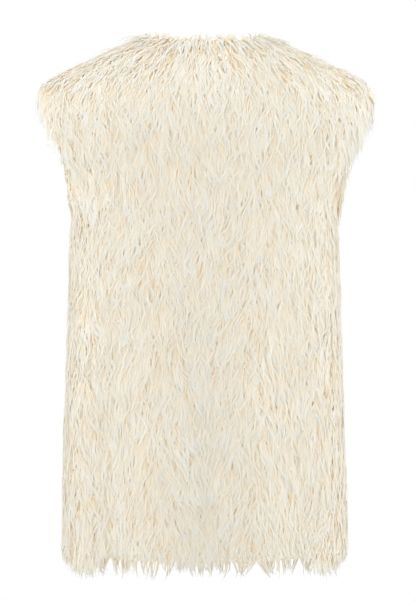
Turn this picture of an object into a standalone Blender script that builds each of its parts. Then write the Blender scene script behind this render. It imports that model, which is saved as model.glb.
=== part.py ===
"""Shaggy sleeveless vest, filled out as worn and hollow, with open neck, armholes and hem.

Metres, +Z up. The back faces -Y and the fronts face +Y. The origin is on the shoulder line, midway between
the two points where the shoulder seams meet the neck edge, on the inside of the cloth.
"""

import math
from collections import namedtuple

import bmesh
import bpy
import numpy as np
from mathutils import Vector

# Sizes of the cut, in metres, measured on the inside of the cloth
HEM_HEIGHT = -0.690
UNDERARM_HEIGHT = -0.225
NECK_HALF_WIDTH = 0.080
BACK_NECK_REACH = 0.058
FRONT_NECK_REACH = 0.092
SHOULDER_HALF_WIDTH = 0.212
SHOULDER_SLOPE = math.radians(24.0)
SHOULDER_TIP_DROOP = 0.003
DROOP_STARTS_AT = 0.150
FRONT_EDGE_GAP = 0.002

# Cloth and pile together make one wall, thinner along its free edges, with tufts raised on its outside
PILE = 0.0120
EDGE_PILE = 0.55
ARMHOLE_PILE = 0.90
CORNER_PILE = 0.75
TUFT_RISE = 0.0050
TUFT_WIDTH = 0.036
TUFT_LENGTH = 0.062
GOLDEN = 0.6180339887
SEAM_GAP = 0.0003

# The upper part of each panel swells to its fullest at this height, at the middle and at the armhole edge
FULLEST_AT_MIDDLE = -0.130
FULLEST_AT_ARMHOLE = -0.147
RING_ROUNDNESS = 2.5
ARMHOLE_SCOOP = 16
ARMHOLE_TURN = math.radians(60)
NECK_ROUNDNESS = 2.4

# Rows and columns of a panel's net
BODY_ROWS = 22
ARMHOLE_ROWS = 6
YOKE_ROWS = 8
SIDE_COLUMNS = 14
NECK_COLUMN_SHARES = (0.0, 0.27, 0.50, 0.70, 0.86, 0.96)

# Cream pile
PILE_COLOUR = (0.82, 0.75, 0.62, 1.0)
PILE_ROUGHNESS = 0.9

Section = namedtuple("Section", "height half_width back_depth front_depth")
BODY_SECTIONS = (
    Section(-0.690, 0.1775, 0.121, 0.124),
    Section(-0.560, 0.1755, 0.118, 0.123),
    Section(-0.400, 0.1715, 0.112, 0.121),
    Section(-0.300, 0.1695, 0.109, 0.120),
    Section(-0.225, 0.1680, 0.106, 0.115),
)

Edge = namedtuple("Edge", "height half_width")
ARMHOLE_EDGE = (
    Edge(-0.225, 0.168),
    Edge(-0.180, 0.174),
    Edge(-0.150, 0.181),
    Edge(-0.110, 0.197),
    Edge(-0.085, 0.206),
    Edge(-0.062, 0.212),
)

Fullness = namedtuple("Fullness", "middle armhole")
FULLNESS = {"back": Fullness(0.103, 0.062), "front": Fullness(0.098, 0.066)}

# Soft upright folds: places are shares of the half width, from the middle, at the fold's top and at the hem
Fold = namedtuple("Fold", "panel top_place hem_place half_width depth top_height")
FOLDS = (
    Fold("back", -0.58, -0.72, 0.20, 0.013, -0.170),
    Fold("back", 0.03, 0.00, 0.17, 0.010, -0.250),
    Fold("back", 0.62, 0.74, 0.20, 0.014, -0.170),
    Fold("front", -0.45, -0.52, 0.20, 0.012, -0.260),
    Fold("front", 0.47, 0.56, 0.20, 0.013, -0.230),
)

# Rows of locks along the free edges: length, spread of lengths, depth of the strip that holds them, and how
# much they turn up (or down, below zero) and out sideways from the way out of the wall
Fringe = namedtuple("Fringe", "length spread strip lift splay")
HEM_FRINGE = Fringe(0.0210, 0.0065, 0.0045, 0.0, 0.0)
NECK_FRINGE = Fringe(0.0150, 0.0050, 0.0040, 2.0, 0.0)
LEFT_ARMHOLE_FRINGE = Fringe(0.0190, 0.0045, 0.0030, -1.0, 1.0)
RIGHT_ARMHOLE_FRINGE = Fringe(0.0280, 0.0065, 0.0030, -0.8, 1.0)
SHOULDER_TIP_LOCKS = 0.45
ARMHOLE_FRINGE_STARTS = 2
FRINGE_GAP = 0.0008
STRIP_SHARES = (0.10, 0.90)
LOCK_WAIST = 0.62
LOCK_WAIST_AT = 0.50
LOCK_SWAY = 0.0025
LOCK_STRAIGHTENED = 0.7
NECK_LOCKS_PER_COLUMN = 3
FRONT_NECK_LOCKS_PER_COLUMN = 2
ARMHOLE_LOCKS_PER_ROW = 2


def smooth(table, column, at):
    """A table's column at some heights, on a smooth curve through its rows."""
    heights = np.array([row.height for row in table])
    values = np.array([getattr(row, column) for row in table])
    slopes = np.gradient(values, heights)
    i = np.clip(np.searchsorted(heights, at) - 1, 0, len(heights) - 2)
    step = heights[i + 1] - heights[i]
    t = np.clip((at - heights[i]) / step, 0, 1)
    rise = t * t * (3 - 2 * t)
    start = t * (1 - t) ** 2 * step * slopes[i]
    end = t * t * (t - 1) * step * slopes[i + 1]
    return values[i] + (values[i + 1] - values[i]) * rise + start + end


def ease(t):
    t = np.clip(t, 0, 1)
    return t * t * (3 - 2 * t)


def rounded(share, power):
    """How far out a rounded outline is at a share of its half width: 1 at the middle, 0 at the end."""
    return (1 - np.minimum(np.abs(share), 1) ** power) ** (1 / power)


def column_turns():
    """Places of a half panel's columns, as turns round its ring, with one at the neck's corner."""
    power = RING_ROUNDNESS / 2
    corner = NECK_HALF_WIDTH / SHOULDER_HALF_WIDTH
    inner = [math.asin((corner * share) ** power) for share in NECK_COLUMN_SHARES]
    outer = np.linspace(math.asin(corner**power), math.pi / 2, SIDE_COLUMNS)
    return np.concatenate([inner, outer])


def shares_of(turns):
    """Places across a panel, as shares of its half width, from turns round its ring."""
    return np.sign(turns) * np.abs(np.sin(turns)) ** (2 / RING_ROUNDNESS)


def shoulder_height(across):
    """Height of the shoulder seam at a distance from the middle, carried on as a low dome over the neck."""
    far = np.abs(across)
    dome = (far**2 / NECK_HALF_WIDTH - NECK_HALF_WIDTH) / 2
    out = np.where(far > NECK_HALF_WIDTH, far - NECK_HALF_WIDTH, dome)
    droop = ease((far - DROOP_STARTS_AT) / (SHOULDER_HALF_WIDTH - DROOP_STARTS_AT) / 2)
    return -out * math.tan(SHOULDER_SLOPE) - 2 * SHOULDER_TIP_DROOP * droop


def fullest_of(panel, share):
    """Depth and height of a panel's fullest point above the underarm, at a share across it."""
    full = FULLNESS[panel]
    depth = full.armhole + (full.middle - full.armhole) * (1 - np.abs(share) ** RING_ROUNDNESS)
    return depth, FULLEST_AT_MIDDLE + (FULLEST_AT_ARMHOLE - FULLEST_AT_MIDDLE) * share**2


def surface(panel, turns, way):
    """Points on the inside of a panel without its folds.

    way runs up the panel: 0 at the hem, 1 at the underarm, 2 at the fullest and 3 on the shoulder line.
    """
    share = shares_of(turns)
    body = HEM_HEIGHT + (UNDERARM_HEIGHT - HEM_HEIGHT) * np.clip(way, 0, 1)
    ring = smooth(BODY_SECTIONS, panel + "_depth", body) * np.abs(np.cos(turns)) ** (2 / RING_ROUNDNESS)
    depth, level = fullest_of(panel, share)

    # the edge is scooped like a quarter ring, and the rest of the panel goes straight up
    straight = np.clip(way - 1, 0, 1)
    swell = straight * math.pi / 2
    scooped = np.abs(share) ** ARMHOLE_SCOOP
    rise = scooped * (1 - np.cos(swell)) + (1 - scooped) * straight
    swell_height = UNDERARM_HEIGHT + (level - UNDERARM_HEIGHT) * rise
    swell_depth = ring + (depth - ring) * (scooped * np.sin(swell) + (1 - scooped) * straight)

    over = np.clip(way - 2, 0, 1) * math.pi / 2
    top = shoulder_height(share * SHOULDER_HALF_WIDTH)
    over_height = level + (top - level) * np.sin(over)

    height = np.where(way <= 1, body, np.where(way <= 2, swell_height, over_height))
    deep = np.where(way <= 1, ring, np.where(way <= 2, swell_depth, depth * np.cos(over)))
    tip = float(shoulder_height(SHOULDER_HALF_WIDTH))
    edge = FULLEST_AT_ARMHOLE - (FULLEST_AT_ARMHOLE - UNDERARM_HEIGHT) * np.cos(swell)
    edge = edge + (tip - FULLEST_AT_ARMHOLE) * np.sin(over)
    body_width = smooth(BODY_SECTIONS, "half_width", body)
    half_width = np.where(way <= 1, body_width, smooth(ARMHOLE_EDGE, "half_width", edge))
    facing = -1 if panel == "back" else 1
    return np.stack([share * half_width, facing * deep, height], axis=-1)


def ways_up(panel, turns):
    """The net of a panel, as its ways up at each row and column. Neck columns stop at the neck edge."""
    share = shares_of(turns)
    reach = BACK_NECK_REACH if panel == "back" else FRONT_NECK_REACH
    reach = reach * rounded(share * SHOULDER_HALF_WIDTH / NECK_HALF_WIDTH, NECK_ROUNDNESS)
    stop = np.arccos(np.clip(reach / fullest_of(panel, share)[0], 0, 1)) / (math.pi / 2)
    flat = np.ones_like(turns)
    rows = [flat * way for way in np.linspace(0, 1, BODY_ROWS + 1)]
    rows += [flat * way for way in np.linspace(1, 2, ARMHOLE_ROWS + 1)[1:]]
    rows += [2 + stop * step for step in np.linspace(0, 1, YOKE_ROWS + 1)[1:]]
    return np.array(rows)


def normals_at(panel, turns, way):
    """Outward directions on a panel, from short steps along it and up it."""
    step = 0.004
    limit = math.pi / 2
    ahead = np.minimum(turns + step, limit)
    behind = np.maximum(turns - step, -limit)
    above = np.minimum(way + step, 3)
    below = np.maximum(way - step, 0)
    along = surface(panel, ahead, way) - surface(panel, behind, way)
    up = surface(panel, turns, above) - surface(panel, turns, below)
    normal = np.cross(along, up) if panel == "back" else np.cross(up, along)
    normal = normal / np.linalg.norm(normal, axis=-1, keepdims=True)

    # beside the armhole the wall turns steadily from facing sideways at the underarm
    share = shares_of(turns)
    turn = ARMHOLE_TURN * ease((way - 1) / 1.2)
    facing = -1 if panel == "back" else 1
    turned = np.stack([np.sign(share) * np.cos(turn), facing * np.sin(turn), np.zeros_like(turn)], axis=-1)
    near = np.abs(share) ** ARMHOLE_SCOOP * ease((way - 0.95) / 0.05) * (1 - ease((way - 1.8) / 0.5))
    normal = normal + (turned - normal) * near[..., None]
    return normal / np.linalg.norm(normal, axis=-1, keepdims=True)


def fold_depths(panel, columns, heights):
    """How far the folds press a panel in, at each point of its net."""
    depth = np.zeros_like(heights)
    for fold in FOLDS:
        if fold.panel != panel:
            continue
        down = (fold.top_height - heights) / (fold.top_height - HEM_HEIGHT)
        place = fold.top_place + (fold.hem_place - fold.top_place) * np.clip(down, 0, 1)
        away = (columns[None, :] - place) / fold.half_width
        trough = np.exp(-(away**2)) - 0.35 * np.exp(-((np.abs(away) - 1.9) ** 2))
        depth += fold.depth * ease(down) * trough
    return depth


def tufts(net):
    """Height of the tufts over a net: each rises to its lower tip, out of step with those beside it."""
    steps = np.linalg.norm(np.diff(net, axis=1), axis=2)
    around = np.concatenate([np.zeros((len(net), 1)), np.cumsum(steps, axis=1)], axis=1)
    around = around - around[:, [around.shape[1] // 2]]
    steps = np.linalg.norm(np.diff(net, axis=0), axis=2)
    down = -np.concatenate([np.zeros((1, net.shape[1])), np.cumsum(steps, axis=0)], axis=0)
    lane = np.floor(around / TUFT_WIDTH)
    ridge = np.sin(math.pi * (around / TUFT_WIDTH - lane))
    rise = np.mod(down / TUFT_LENGTH + lane * GOLDEN, 1.0)
    return TUFT_RISE * (0.25 + 0.75 * ridge) * rise


Panel = namedtuple("Panel", "inside outside")


def panel_nets(panel, turns, middle_edge):
    """The inside and outside points of a panel. A front has its middle edge on the centre front."""
    way = ways_up(panel, turns)
    turns = np.tile(turns, (len(way), 1))
    columns = shares_of(turns[0])
    net = surface(panel, turns, way)
    normal = normals_at(panel, turns, way)
    net = net - normal * fold_depths(panel, columns, net[:, :, 2])[:, :, None]

    sides = [column for column in (0, -1) if abs(columns[column]) > 0.9999]
    neck = np.abs(columns) * SHOULDER_HALF_WIDTH < NECK_HALF_WIDTH - SEAM_GAP
    for column in sides:
        normal[: BODY_ROWS + 1, column, 1] = 0
    normal[-1, ~neck, 1] = 0
    normal[0, :, 2] = 0
    if middle_edge is not None:
        normal[:, middle_edge, 0] = 0
    normal /= np.linalg.norm(normal, axis=2, keepdims=True)

    thick = PILE + tufts(net) * (1 - np.abs(columns) ** ARMHOLE_SCOOP)
    for column in sides:
        thick[: BODY_ROWS + 1, column] = PILE
    thick[-1, ~neck] = PILE
    thick[0] = EDGE_PILE * PILE
    thick[-1, neck] = EDGE_PILE * PILE
    corner = np.abs(np.abs(columns) * SHOULDER_HALF_WIDTH - NECK_HALF_WIDTH) < SEAM_GAP
    thick[-1, corner] = CORNER_PILE * PILE
    for column in sides:
        thick[BODY_ROWS:, column] = ARMHOLE_PILE * PILE
    return net, net + normal * thick[:, :, None]


def kept_clear(points, panel, side):
    """Holds a panel's points to its own side of the seams and of the centre front."""
    points = points.copy()
    half_seam = SEAM_GAP / 2
    if panel == "back":
        points[..., 1] = np.minimum(points[..., 1], -half_seam)
    else:
        points[..., 1] = np.maximum(points[..., 1], half_seam)
        points[..., 0] = side * np.maximum(side * points[..., 0], FRONT_EDGE_GAP / 2)
    return points


def make_panel(panel, side):
    """Points of the back (side 0), or of the left (-1) or right (1) front."""
    half = column_turns()
    if panel == "back":
        turns, middle_edge = np.concatenate([-half[:0:-1], half]), None
    elif side > 0:
        turns, middle_edge = half, 0
    else:
        turns, middle_edge = -half[::-1], -1
    inside, outside = panel_nets(panel, turns, middle_edge)
    return Panel(kept_clear(inside, panel, side), kept_clear(outside, panel, side))


def pile_material():
    material = bpy.data.materials.new("cream_pile")
    material.use_nodes = True
    shader = material.node_tree.nodes["Principled BSDF"]
    shader.inputs["Base Color"].default_value = PILE_COLOUR
    shader.inputs["Roughness"].default_value = PILE_ROUGHNESS
    shader.inputs["Metallic"].default_value = 0.0
    return material


def add_object(name, shape, material):
    """Closes a finished shape into a named object."""
    bmesh.ops.recalc_face_normals(shape, faces=shape.faces)
    mesh = bpy.data.meshes.new(name)
    shape.to_mesh(mesh)
    shape.free()
    mesh.shade_smooth()
    mesh.set_sharp_from_angle(angle=math.radians(50))
    mesh.materials.append(material)
    thing = bpy.data.objects.new(name, mesh)
    bpy.context.scene.collection.objects.link(thing)
    return thing


def add_wall(name, panel, material):
    """A panel's wall: a grid laid on the inside points, and its copy drawn out to the outside points."""
    rows, columns = panel.inside.shape[:2]
    shape = bmesh.new()
    grid = bmesh.ops.create_grid(shape, x_segments=columns - 1, y_segments=rows - 1, size=1.0)
    shape.verts.ensure_lookup_table()
    place_of = {}
    for index, vertex in enumerate(grid["verts"]):
        place_of[vertex] = (index // columns, index % columns)
        vertex.co = panel.inside[place_of[vertex]]
    twin = {tuple(vertex.co): place for vertex, place in place_of.items()}
    drawn = bmesh.ops.extrude_face_region(shape, geom=shape.faces[:], use_keep_orig=True)
    for vertex in [item for item in drawn["geom"] if isinstance(item, bmesh.types.BMVert)]:
        vertex.co = panel.outside[twin[tuple(vertex.co)]]
    return add_object(name, shape, material)


def split_edge(points, parts):
    """A line of points with each of its spans cut into equal parts."""
    pieces = [points[:-1] + (points[1:] - points[:-1]) * step / parts for step in range(parts)]
    cut = np.stack(pieces, axis=1).reshape(-1, 3)
    return np.concatenate([cut, points[-1:]])


def uneven(index, spacing):
    """A steady run of uneven numbers from -1 to 1."""
    return 2 * math.fmod(0.37 + index * spacing, 1.0) - 1


def add_fringe(name, edge, fringe, owner, material):
    """A narrow strip along a wall's free edge, with a tapering lock drawn out of each of its faces.

    edge holds the inside and outside points of the wall's edge, and the way out of the wall at each of them.
    owner is the panel and side whose seams the fringe stops at, or None for one that runs over a shoulder.
    """
    near, far, away = edge
    low, high = STRIP_SHARES
    roots = [near + (far - near) * low, near + (far - near) * high]
    count = len(near) - 1
    shape = bmesh.new()
    lines = [[shape.verts.new(p + a * FRINGE_GAP) for p, a in zip(line, away)] for line in roots]
    for i in range(count):
        shape.faces.new((lines[0][i], lines[0][i + 1], lines[1][i + 1], lines[1][i]))
    along = {tuple(v.co): Vector(a) for line in lines for v, a in zip(line, away)}

    drawn = bmesh.ops.extrude_face_region(shape, geom=shape.faces[:], use_keep_orig=True)["geom"]
    for vertex in [item for item in drawn if isinstance(item, bmesh.types.BMVert)]:
        vertex.co += along[tuple(vertex.co)] * fringe.strip
    bases = [item for item in drawn if isinstance(item, bmesh.types.BMFace)]
    middles = {tuple(np.round((roots[0][i] + roots[1][i + 1]) / 2, 6)): i for i in range(count)}
    keys = np.array(list(middles))

    for base in bases:
        centre = base.calc_center_median()
        nearest = int(np.argmin(np.linalg.norm(keys - np.array(centre), axis=1)))
        index = middles[tuple(keys[nearest])]
        out = Vector(away[index] + away[index + 1]).normalized()
        side = Vector(near[index + 1] - near[index]).normalized()
        turned = out + Vector((math.copysign(fringe.splay, centre.x), 0, fringe.lift))
        turned = (turned - side * turned.dot(side) * LOCK_STRAIGHTENED).normalized()
        length = fringe.length + fringe.spread * uneven(index, GOLDEN)
        if not owner:
            from_tip = abs(2 * (index + 0.5) / count - 1)
            length *= SHOULDER_TIP_LOCKS + (1 - SHOULDER_TIP_LOCKS) * from_tip
        sway = side * LOCK_SWAY * uneven(index, 0.7548776662)
        waist = out.lerp(turned, 0.55) * length * LOCK_WAIST_AT + sway * 0.4
        point = waist + turned * length * (1 - LOCK_WAIST_AT) + sway * 0.6
        lock = bmesh.ops.extrude_discrete_faces(shape, faces=[base])["faces"][0]
        for vertex in lock.verts:
            vertex.co = centre + waist + (vertex.co - centre) * LOCK_WAIST
        tip = bmesh.ops.extrude_discrete_faces(shape, faces=[lock])["faces"][0]
        bmesh.ops.pointmerge(shape, verts=tip.verts[:], merge_co=centre + point)
    if owner:
        for vertex in shape.verts:
            vertex.co = kept_clear(np.array(vertex.co), *owner)
    return add_object(name, shape, material)


def hem_edge(panel):
    """The hem edge of a panel, with its way out straight down."""
    down = np.tile((0.0, 0.0, -1.0), (panel.inside.shape[1], 1))
    return panel.inside[0], panel.outside[0], down


def unit_rows(vectors):
    return vectors / np.linalg.norm(vectors, axis=1, keepdims=True)


def way_out(inside, outside, inner):
    """The way out of a wall along its edge: square to the edge and to the wall's own thickness."""
    away = unit_rows(np.cross(np.gradient(inside, axis=0), outside - inside))
    facing = np.sum(away * (inside - inner), axis=1, keepdims=True)
    return away * np.sign(np.sum(facing))


def neck_edge(panel, first, last, parts):
    """A panel's neck edge between two of its columns, cut into parts, with its way out into the neck."""
    span = slice(first, last + 1)
    inside, outside = panel.inside[-1, span], panel.outside[-1, span]
    away = way_out(inside, outside, panel.inside[-2, span])
    return split_edge(inside, parts), split_edge(outside, parts), unit_rows(split_edge(away, parts))


def armhole_edge(back, front, column, inner_column, parts):
    """The armhole edge but for its bottom, up the back panel, over the shoulder tip and down the front."""
    first = BODY_ROWS + ARMHOLE_FRINGE_STARTS

    def joined(side, at):
        up = getattr(back, side)[first:, at]
        down = getattr(front, side)[first:, at][::-1]
        tip = (up[-1:] + down[:1]) / 2
        return np.concatenate([up[:-1], tip, down[1:]])

    inside, outside = joined("inside", column), joined("outside", column)
    away = way_out(inside, outside, joined("inside", inner_column))
    return split_edge(inside, parts), split_edge(outside, parts), unit_rows(split_edge(away, parts))


def main():
    for thing in list(bpy.data.objects):
        bpy.data.objects.remove(thing)
    material = pile_material()
    back = make_panel("back", 0)
    left = make_panel("front", -1)
    right = make_panel("front", 1)
    add_wall("back", back, material)
    add_wall("front_left", left, material)
    add_wall("front_right", right, material)

    half = len(NECK_COLUMN_SHARES)
    middle = len(column_turns()) - 1
    back_neck = neck_edge(back, middle - half, middle + half, NECK_LOCKS_PER_COLUMN)
    left_neck = neck_edge(left, middle - half, middle, FRONT_NECK_LOCKS_PER_COLUMN)
    right_neck = neck_edge(right, 0, half, FRONT_NECK_LOCKS_PER_COLUMN)
    for name, owner, panel, neck in (
        ("back", ("back", 0), back, back_neck),
        ("left", ("front", -1), left, left_neck),
        ("right", ("front", 1), right, right_neck),
    ):
        add_fringe("hem_fringe_" + name, hem_edge(panel), HEM_FRINGE, owner, material)
        add_fringe("neck_fringe_" + name, neck, NECK_FRINGE, owner, material)

    left_armhole = armhole_edge(back, left, 0, 1, ARMHOLE_LOCKS_PER_ROW)
    right_armhole = armhole_edge(back, right, -1, -2, ARMHOLE_LOCKS_PER_ROW)
    add_fringe("armhole_fringe_left", left_armhole, LEFT_ARMHOLE_FRINGE, None, material)
    add_fringe("armhole_fringe_right", right_armhole, RIGHT_ARMHOLE_FRINGE, None, material)


main()
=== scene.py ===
"""The looks of a shaggy cream vest, hollow as worn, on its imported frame. Metres, +Z up, back to -Y."""

import math
from typing import NamedTuple

import bmesh
import bpy
import numpy as np
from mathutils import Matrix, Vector, noise
from mathutils.bvhtree import BVHTree
from mathutils.kdtree import KDTree


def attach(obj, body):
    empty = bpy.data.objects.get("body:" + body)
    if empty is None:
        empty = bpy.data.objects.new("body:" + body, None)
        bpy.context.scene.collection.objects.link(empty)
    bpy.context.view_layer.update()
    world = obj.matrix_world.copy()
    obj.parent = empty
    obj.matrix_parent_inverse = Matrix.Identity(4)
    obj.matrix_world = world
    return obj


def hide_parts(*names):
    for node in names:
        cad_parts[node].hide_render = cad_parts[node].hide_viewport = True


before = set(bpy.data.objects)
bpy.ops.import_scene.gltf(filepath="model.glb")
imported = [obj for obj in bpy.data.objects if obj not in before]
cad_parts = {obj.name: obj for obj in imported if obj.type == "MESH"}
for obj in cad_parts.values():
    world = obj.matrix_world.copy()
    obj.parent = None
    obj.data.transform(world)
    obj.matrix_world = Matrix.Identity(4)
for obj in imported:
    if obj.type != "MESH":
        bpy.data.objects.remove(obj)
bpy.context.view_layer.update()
bpy.ops.object.select_all(action="DESELECT")


# Knitted ground
# A thin knitted cloth carries the pile. It is cut as a back and two fronts, sewn at the sides and shoulders.
# Its plain inner face shows through the openings, and dense short underfur covers its outside.
CLOTH_THICKNESS = 0.0070
CLOTH_ROUGHNESS = 0.9
KNIT_STITCHES_PER_METRE = 420.0
KNIT_STITCH_SOFTNESS = 0.6
KNIT_STITCH_SHADE = 0.8
KNIT_CLOUDS_PER_METRE = 18.0
KNIT_CLOUD_SHADE = 0.35
KNIT_STOPS = [(0.2, (0.985, 0.970, 0.930, 1.0)), (1.0, (0.955, 0.920, 0.850, 1.0))]
KNIT_DEPTH = 0.0004
KNIT_RELIEF = 0.6
KNIT_GLOSS = 0.2
UNDERFUR_STRANDS_PER_METRE = (300.0, 300.0, 60.0)
# the underfur is painted a warm peach, as the shade deep between the locks
UNDERFUR_SHADE_STOPS = [(0.3, (0.995, 0.860, 0.640, 1.0)), (0.7, (0.995, 0.900, 0.720, 1.0))]
UNDERFUR_DEPTH = 0.0015
UNDERFUR_RELIEF = 0.5
UNDERFUR_GLOSS = 0.1
JOIN_DISTANCE = 1e-5
RIM_ANGLE = math.radians(55)
CORNER_ANGLE = math.radians(130)
SEAM_REACH = 0.0006
FRONT_EDGE_REACH = 0.0015

# the hem is cut a little higher between its corners than at them
HEM_TRIM = 0.010
HEM_TRIM_STARTS = -0.62
HEM_TRIM_FULL = -0.69
HEM_CORNERS = (0.150, 0.134)

# width and length of the cloth that each panel is cut from, and the area of the panel itself
PANEL_CUTS = {
    "back": ((0.56, 0.72), 0.335),
    "front_left": ((0.30, 0.72), 0.166),
    "front_right": ((0.30, 0.72), 0.166),
}


class Value:
    """An output socket that Python's own operators turn into Math nodes."""

    def __init__(self, tree, socket):
        self.tree = tree
        self.socket = socket

    def worked(self, operation, first, second):
        node = self.tree.nodes.new("ShaderNodeMath")
        node.operation = operation
        for slot, value in zip(node.inputs, (first, second)):
            if isinstance(value, Value):
                self.tree.links.new(value.socket, slot)
            else:
                slot.default_value = value
        return Value(self.tree, node.outputs[0])

    def __add__(self, other):
        return self.worked("ADD", self, other)

    def __sub__(self, other):
        return self.worked("SUBTRACT", self, other)

    def __rsub__(self, other):
        return self.worked("SUBTRACT", other, self)

    def __mul__(self, other):
        return self.worked("MULTIPLY", self, other)

    __radd__ = __add__
    __rmul__ = __mul__


class Finish:
    """A material under way. add() puts in a node by its type, settings, and its sockets' values or links."""

    def __init__(self, name):
        self.material = bpy.data.materials.new(name)
        self.material.use_nodes = True
        self.tree = self.material.node_tree
        self.shader = self.tree.nodes["Principled BSDF"]

    def add(self, kind, settings, sockets, output=0):
        node = self.tree.nodes.new(kind)
        for name, value in settings.items():
            if name == "stops":
                self.set_stops(node.color_ramp, value)
            else:
                setattr(node, name, value)
        self.fill(node, sockets)
        return Value(self.tree, node.outputs[output])

    def set_stops(self, ramp, stops):
        while len(ramp.elements) < len(stops):
            ramp.elements.new(0.5)
        for element, (place, colour) in zip(ramp.elements, stops):
            element.position = place
            element.color = colour

    def fill(self, node, sockets):
        for name, value in sockets.items():
            if isinstance(value, Value):
                self.tree.links.new(value.socket, node.inputs[name])
            else:
                node.inputs[name].default_value = value


def knit_finish():
    """Cream jersey: rows of small stitches, with painted shade in the hollows between them."""
    knit = Finish("cream_knit_ground")
    place = knit.add("ShaderNodeTexCoord", {}, {}, "Object")
    stitches = knit.add(
        "ShaderNodeTexVoronoi",
        {"feature": "SMOOTH_F1"},
        {"Vector": place, "Scale": KNIT_STITCHES_PER_METRE, "Smoothness": KNIT_STITCH_SOFTNESS},
        "Distance",
    )
    spread = {"Vector": place, "Scale": KNIT_CLOUDS_PER_METRE, "Detail": 3.0}
    cloud = knit.add("ShaderNodeTexNoise", {}, spread, "Fac")
    # painted shade in the hollows between the stitches, with random clouds of tone
    shade = stitches * KNIT_STITCH_SHADE + cloud * KNIT_CLOUD_SHADE
    colour = knit.add("ShaderNodeValToRGB", {"stops": KNIT_STOPS}, {"Fac": shade}, "Color")
    relief = {"Height": 1 - stitches, "Strength": KNIT_RELIEF, "Distance": KNIT_DEPTH}
    bump = knit.add("ShaderNodeBump", {}, relief)
    knit.fill(knit.shader, {"Base Color": colour, "Normal": bump})
    knit.fill(knit.shader, {"Roughness": CLOTH_ROUGHNESS, "Specular IOR Level": KNIT_GLOSS})
    return knit.material


def underfur_finish():
    """Short fibre, combed downwards, painted a warm peach as the shade deep between the locks."""
    fur = Finish("underfur_painted_shade")
    place = fur.add("ShaderNodeTexCoord", {}, {}, "Object")
    comb = {"Vector": place, "Scale": UNDERFUR_STRANDS_PER_METRE}
    combed = fur.add("ShaderNodeMapping", {}, comb, "Vector")
    strands = fur.add("ShaderNodeTexNoise", {}, {"Vector": combed, "Scale": 1.0, "Detail": 3.0}, "Fac")
    colour = fur.add("ShaderNodeValToRGB", {"stops": UNDERFUR_SHADE_STOPS}, {"Fac": strands}, "Color")
    relief = {"Height": strands, "Strength": UNDERFUR_RELIEF, "Distance": UNDERFUR_DEPTH}
    bump = fur.add("ShaderNodeBump", {}, relief)
    fur.fill(fur.shader, {"Base Color": colour, "Normal": bump})
    fur.fill(fur.shader, {"Roughness": CLOTH_ROUGHNESS, "Specular IOR Level": UNDERFUR_GLOSS})
    return fur.material


def sides_beside(face, others):
    """How many of a face's sides have one of the others across them."""
    return sum(not others.isdisjoint(edge.link_faces) for edge in face.edges)


def inside_of(node):
    """A copy of the faces on the inside of a panel's solid, joined up and turned to face outwards."""
    shape = bmesh.new()
    shape.from_mesh(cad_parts[node].data)
    bmesh.ops.remove_doubles(shape, verts=shape.verts[:], dist=JOIN_DISTANCE)
    shape.normal_update()
    start = max(shape.faces, key=lambda face: -face.normal.y * face.calc_center_median().y)
    inside = {start}
    reached = [start]
    while reached:
        for edge in reached.pop().edges:
            if edge.calc_face_angle(math.pi) < RIM_ANGLE:
                beyond = set(edge.link_faces) - inside
                inside |= beyond
                reached += beyond
    notches = inside
    while notches:
        rest = [face for face in shape.faces if face not in inside]
        notches = [face for face in rest if sides_beside(face, inside) > 1]
        inside.update(notches)
    bmesh.ops.delete(shape, geom=rest, context="FACES")
    bmesh.ops.reverse_faces(shape, faces=shape.faces[:])
    limits = {"angle_face_threshold": math.pi, "angle_shape_threshold": math.pi}
    bmesh.ops.join_triangles(shape, faces=shape.faces[:], **limits)
    return shape


def keep_corners(shape):
    """Creases the corners of a panel, so that smoothing leaves them where the panels meet."""
    crease = shape.verts.layers.float.new("crease_vert")
    for vertex in shape.verts:
        ends = [edge.other_vert(vertex).co - vertex.co for edge in vertex.link_edges if edge.is_boundary]
        if len(ends) == 2 and ends[0].angle(ends[1]) < CORNER_ANGLE:
            vertex[crease] = 1.0


def add_mesh(name, mesh, material):
    mesh.materials.append(material)
    piece = bpy.data.objects.new(name, mesh)
    bpy.context.scene.collection.objects.link(piece)
    return piece


def finish_modifier(piece, kind, **settings):
    """Gives a piece a modifier and applies it at once."""
    modifier = piece.modifiers.new(kind.lower(), kind)
    for name, value in settings.items():
        setattr(modifier, name, value)
    bpy.context.view_layer.objects.active = piece
    bpy.ops.object.modifier_apply(modifier=modifier.name)


def share_between(values, start, end):
    """How far some values are on the way from start to end, from 0 to 1."""
    return np.clip((values - start) / (end - start), 0, 1)


def trim_hem(mesh):
    """Eases the cloth's lowest part up to its trimmed hem."""
    for vertex in mesh.vertices:
        low = share_between(vertex.co.z, HEM_TRIM_STARTS, HEM_TRIM_FULL)
        inside = share_between(abs(vertex.co.x), *HEM_CORNERS)
        vertex.co.z += HEM_TRIM * low * inside
    mesh.update()


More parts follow.
